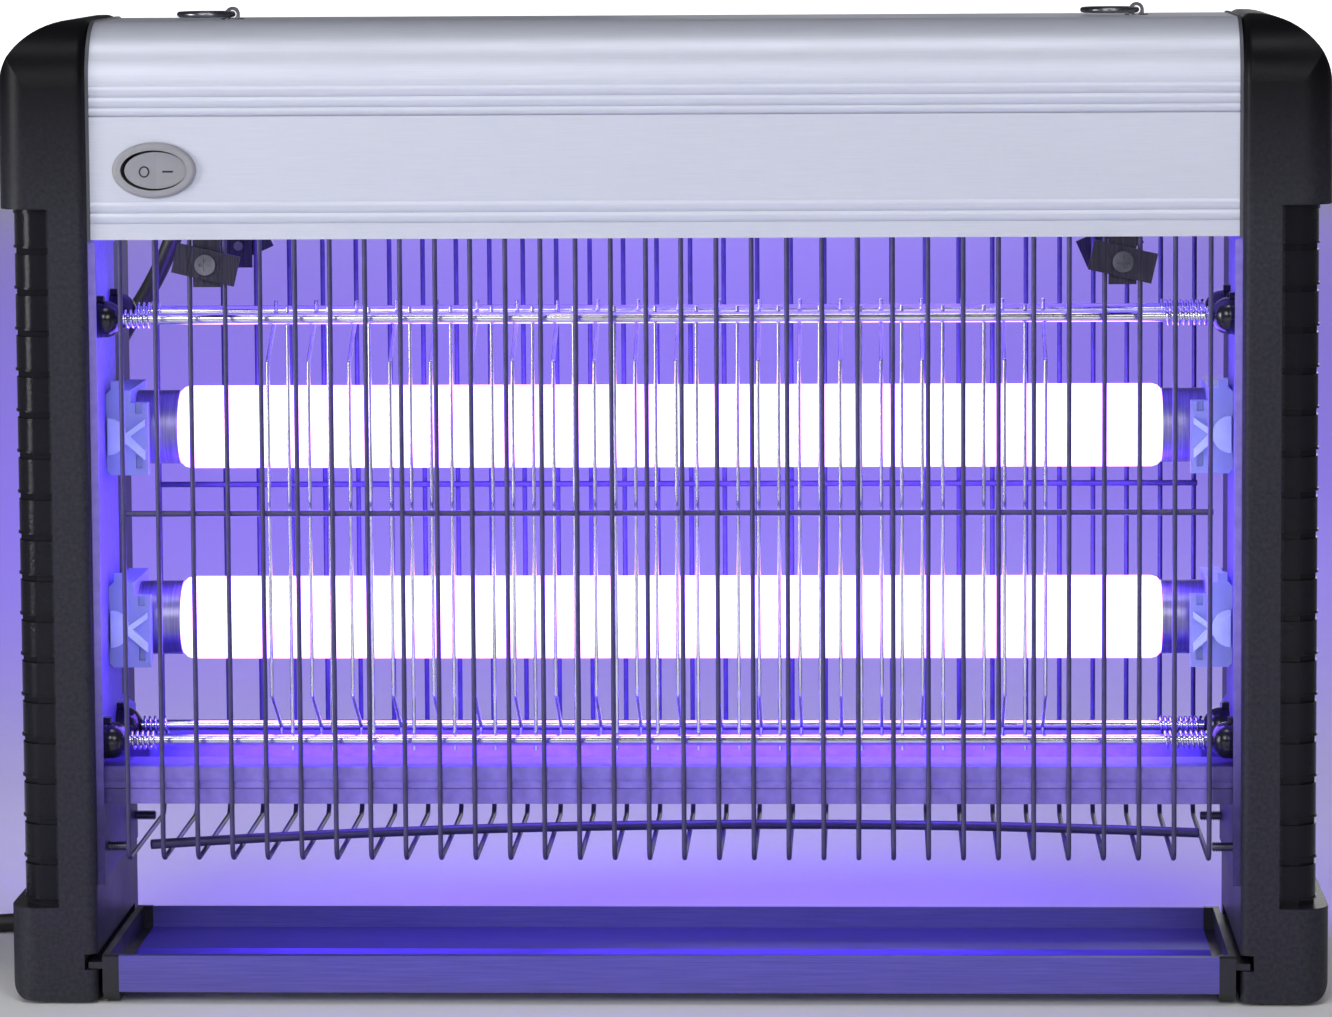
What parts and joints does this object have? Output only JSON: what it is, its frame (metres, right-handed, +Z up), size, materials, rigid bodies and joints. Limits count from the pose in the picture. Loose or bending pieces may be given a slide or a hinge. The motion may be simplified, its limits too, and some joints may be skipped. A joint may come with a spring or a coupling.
{
  "type": "electric bug zapper",
  "caption": "Free-standing electric insect killer with ultraviolet lamps behind a wire guard, an energised grid, a rocker switch and a sliding catch tray.",
  "frame": {"origin": "on the floor, under the middle of the body", "axes": "+X to the right seen from the front, +Y to the rear, +Z up"},
  "size_m": [0.5215, 0.1876, 0.3039],
  "materials": {
    "frame_plastic": "satin black moulded plastic",
    "feet_rubber": "matt",
    "plate_metal": "mill finish sheet",
    "screw_steel": "zinc plated",
    "housing_metal": "satin silver anodised",
    "core_steel": "laminated core",
    "winding_copper": "enamelled copper",
    "board_laminate": "paper laminate board",
    "capacitor_body": "glossy",
    "white_plastic": "white moulded plastic",
    "lead_sheath": "black pvc",
    "switch_grey": "grey moulded plastic",
    "contact_brass": "bright",
    "lamp_glass": "white phosphor coated tube, lit",
    "lamp_cap_metal": "spun cap",
    "pin_brass": "bright",
    "grid_steel": "polished wire",
    "insulator_black": "glossy black",
    "guard_wire": "dark satin coated wire",
    "clip_metal": "dark plated",
    "tray_metal": "satin",
    "tray_plastic": "black moulded plastic",
    "ring_steel": "nickel plated",
    "plug_plastic": "black moulded plug"
  },
  "bodies": {
    "chassis": {"left_side_frame": "frame_plastic", "right_side_frame": "frame_plastic", "rubber_feet": "feet_rubber", "left_end_plate": "plate_metal", "right_end_plate": "plate_metal", "side_screws": "screw_steel", "top_cover": "housing_metal", "lower_housing": "housing_metal", "front_lower_rail": "plate_metal", "rear_lower_rail": "plate_metal", "ballasts": "core_steel", "ballast_windings": "winding_copper", "hv_board": "board_laminate", "hv_capacitors": "capacitor_body", "starters": "white_plastic", "starter_holders": "white_plastic", "terminal_block": "white_plastic", "internal_leads": "lead_sheath", "switch_bezel": "switch_grey", "switch_terminals": "contact_brass", "left_lampholders": "white_plastic", "right_lampholders": "white_plastic", "lampholder_clips": "white_plastic", "hv_grid_live": "grid_steel", "hv_grid_return": "grid_steel", "left_insulators": "insulator_black", "right_insulators": "insulator_black", "left_grid_springs": "grid_steel", "right_grid_springs": "grid_steel", "front_guard": "guard_wire", "bottom_guard": "guard_wire", "rear_guard": "guard_wire", "guard_stiffener": "guard_wire", "guard_brackets": "clip_metal", "clip_screws": "screw_steel", "hanging_eyes": "ring_steel", "strain_relief": "lead_sheath", "mains_cord": "lead_sheath", "cord_coil": "lead_sheath", "cord_tie": "lead_sheath", "plug_body": "plug_plastic", "plug_pins": "contact_brass"},
    "rocker": {"switch_rocker": "switch_grey"},
    "tray": {"tray_pan": "tray_metal", "tray_left_cap": "tray_plastic", "tray_right_cap": "tray_plastic"},
    "upper_lamp": {"upper_lamp_tube": "lamp_glass", "upper_lamp_caps": "lamp_cap_metal", "upper_lamp_pins": "pin_brass", "upper_lamp_rotors": "white_plastic"},
    "lower_lamp": {"lower_lamp_tube": "lamp_glass", "lower_lamp_caps": "lamp_cap_metal", "lower_lamp_pins": "pin_brass", "lower_lamp_rotors": "white_plastic"},
    "left_ring": {"left_hanging_ring": "ring_steel"},
    "right_ring": {"right_hanging_ring": "ring_steel"},
    "front_left_clip": {"front_left_clip": "clip_metal"},
    "front_right_clip": {"front_right_clip": "clip_metal"},
    "rear_left_clip": {"rear_left_clip": "clip_metal"},
    "rear_right_clip": {"rear_right_clip": "clip_metal"}
  },
  "joints": [
    {"name": "rocker_tilt", "type": "hinge", "parent": "chassis", "child": "rocker", "pos_m": [-0.1538, -0.0389, 0.2556], "axis": [0, 0, -1], "range_deg": [0, 14]},
    {"name": "tray_slide", "type": "slide", "parent": "chassis", "child": "tray", "axis": [0, -1, 0], "range_m": [0, 0.079]},
    {"name": "upper_lamp_turn", "type": "hinge", "parent": "chassis", "child": "upper_lamp", "pos_m": [0, 0.002, 0.173], "axis": [1, 0, 0], "range_deg": [0, 90]},
    {"name": "lower_lamp_turn", "type": "hinge", "parent": "chassis", "child": "lower_lamp", "pos_m": [0, 0.002, 0.113], "axis": [1, 0, 0], "range_deg": [0, 90]},
    {"name": "left_ring_swing", "type": "hinge", "parent": "chassis", "child": "left_ring", "pos_m": [-0.1345, 0, 0.3016], "axis": [0, 1, 0], "range_deg": [0, 170]},
    {"name": "right_ring_swing", "type": "hinge", "parent": "chassis", "child": "right_ring", "pos_m": [0.1445, 0, 0.3016], "axis": [0, 1, 0], "range_deg": [0, 170]},
    {"name": "front_left_clip_turn", "type": "hinge", "parent": "chassis", "child": "front_left_clip", "pos_m": [-0.13845, -0.043, 0.227], "axis": [0, 1, 0], "range_deg": [-90, 90]},
    {"name": "front_right_clip_turn", "type": "hinge", "parent": "chassis", "child": "front_right_clip", "pos_m": [0.13845, -0.043, 0.227], "axis": [0, 1, 0], "range_deg": [-90, 90]},
    {"name": "rear_left_clip_turn", "type": "hinge", "parent": "chassis", "child": "rear_left_clip", "pos_m": [-0.13845, 0.043, 0.227], "axis": [0, 1, 0], "range_deg": [-90, 90]},
    {"name": "rear_right_clip_turn", "type": "hinge", "parent": "chassis", "child": "rear_right_clip", "pos_m": [0.13845, 0.043, 0.227], "axis": [0, 1, 0], "range_deg": [-90, 90]}
  ]
}
